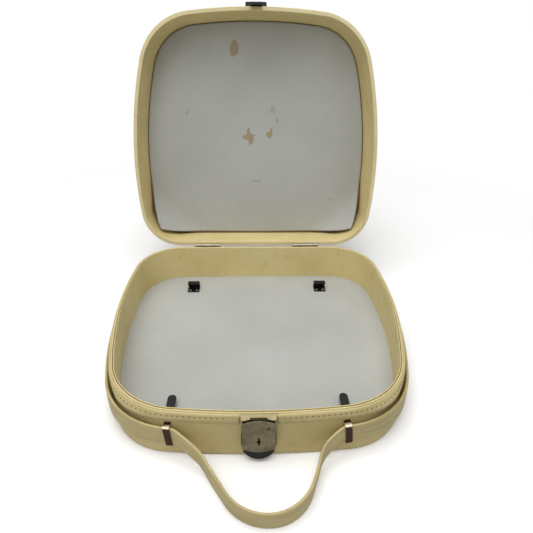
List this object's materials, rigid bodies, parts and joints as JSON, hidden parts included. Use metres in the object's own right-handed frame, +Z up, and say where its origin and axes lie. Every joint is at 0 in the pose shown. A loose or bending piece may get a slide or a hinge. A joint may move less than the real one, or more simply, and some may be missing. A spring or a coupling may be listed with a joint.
{
  "type": "typewriter case",
  "caption": "Rounded leathercloth carrying case for a portable typewriter, hinged lid open, front latch lock and a strap handle.",
  "frame": {"origin": "centre of the base's flat underside", "axes": "+X to the right seen from the lock side, +Y to the back where the hinges are, +Z up through the open tray"},
  "size_m": [0.3796, 0.5408, 0.3999],
  "materials": {
    "leathercloth": "cream leathercloth with a fine grain",
    "piping": "cream cloth over cord",
    "board": "bare fibreboard",
    "grey_board": "matt grey paper face",
    "strap": "cream strap, stitched edges",
    "nickel": "dulled nickel",
    "black_metal": "black enamel",
    "steel": "plain steel",
    "copper_brown": "copper brown, worn",
    "rust": "rusted rivet head"
  },
  "bodies": {
    "base": {"base_floor_board": "board", "base_wall_hoop": "board", "base_cover": "leathercloth", "base_underside_cover": "leathercloth", "base_wall_lining": "leathercloth", "base_floor_lining": "grey_board", "rim_band": "leathercloth", "rim_piping": "piping", "belt_left": "strap", "belt_right": "strap", "belt_rivets": "nickel", "belt_washers": "strap", "strap_keeper_left": "copper_brown", "strap_keeper_right": "copper_brown", "strap_bend_left": "strap", "strap_bend_right": "strap", "lock_back_plate": "steel", "lock_rivets": "steel", "latch_pivot_pins": "steel", "latch_springs": "steel", "hinge_base_leaf_left": "nickel", "hinge_base_leaf_right": "nickel", "hinge_pins": "steel", "hinge_base_rivets": "nickel", "rear_hold_hooks": "black_metal", "hold_hook_rivets": "steel", "turn_catch_posts": "steel"},
    "lid": {"lid_top_board": "board", "lid_wall_hoop": "board", "lid_cover": "leathercloth", "lid_wall_lining": "leathercloth", "lid_grey_panel": "grey_board", "lid_rim_edge": "piping", "lid_catch": "black_metal", "lid_catch_rivets": "black_metal", "hinge_lid_leaf_left": "nickel", "hinge_lid_leaf_right": "nickel", "hinge_lid_rivets": "nickel"},
    "latch": {"latch_lever": "black_metal", "lock_face_plate": "nickel", "face_plate_rivet": "rust"},
    "bolt": {"lock_bolt": "steel"},
    "handle": {"handle_strap": "strap"},
    "turn_catch_left": {"turn_catch_left": "black_metal"},
    "turn_catch_right": {"turn_catch_right": "black_metal"}
  },
  "joints": [
    {"name": "lid_hinge", "type": "hinge", "parent": "base", "child": "lid", "pos_m": [0, 0.1699, 0.06115], "axis": [1, 0, 0], "range_deg": [0, 101.5]},
    {"name": "latch_tilt", "type": "hinge", "parent": "base", "child": "latch", "pos_m": [0, -0.1715, 0.055], "axis": [-1, 0, 0], "range_deg": [0, 16], "stiffness_Nm_per_rad": 0.12, "springref_deg": -11.46, "deforming": ["latch_springs"]},
    {"name": "bolt_slide", "type": "slide", "parent": "latch", "child": "bolt", "axis": [1, 0, 0], "range_m": [0, 0.0035]},
    {"name": "handle_swing", "type": "hinge", "parent": "base", "child": "handle", "pos_m": [0, -0.185, 0.024], "axis": [-1, 0, 0], "range_deg": [-60, 100], "deforming": ["strap_bend_left", "strap_bend_right"]},
    {"name": "turn_left", "type": "hinge", "parent": "base", "child": "turn_catch_left", "pos_m": [-0.1, -0.126, 0.01265], "axis": [0, 0, 1], "range_deg": [0, 90]},
    {"name": "turn_right", "type": "hinge", "parent": "base", "child": "turn_catch_right", "pos_m": [0.1, -0.126, 0.01265], "axis": [0, 0, -1], "range_deg": [0, 90]}
  ]
}
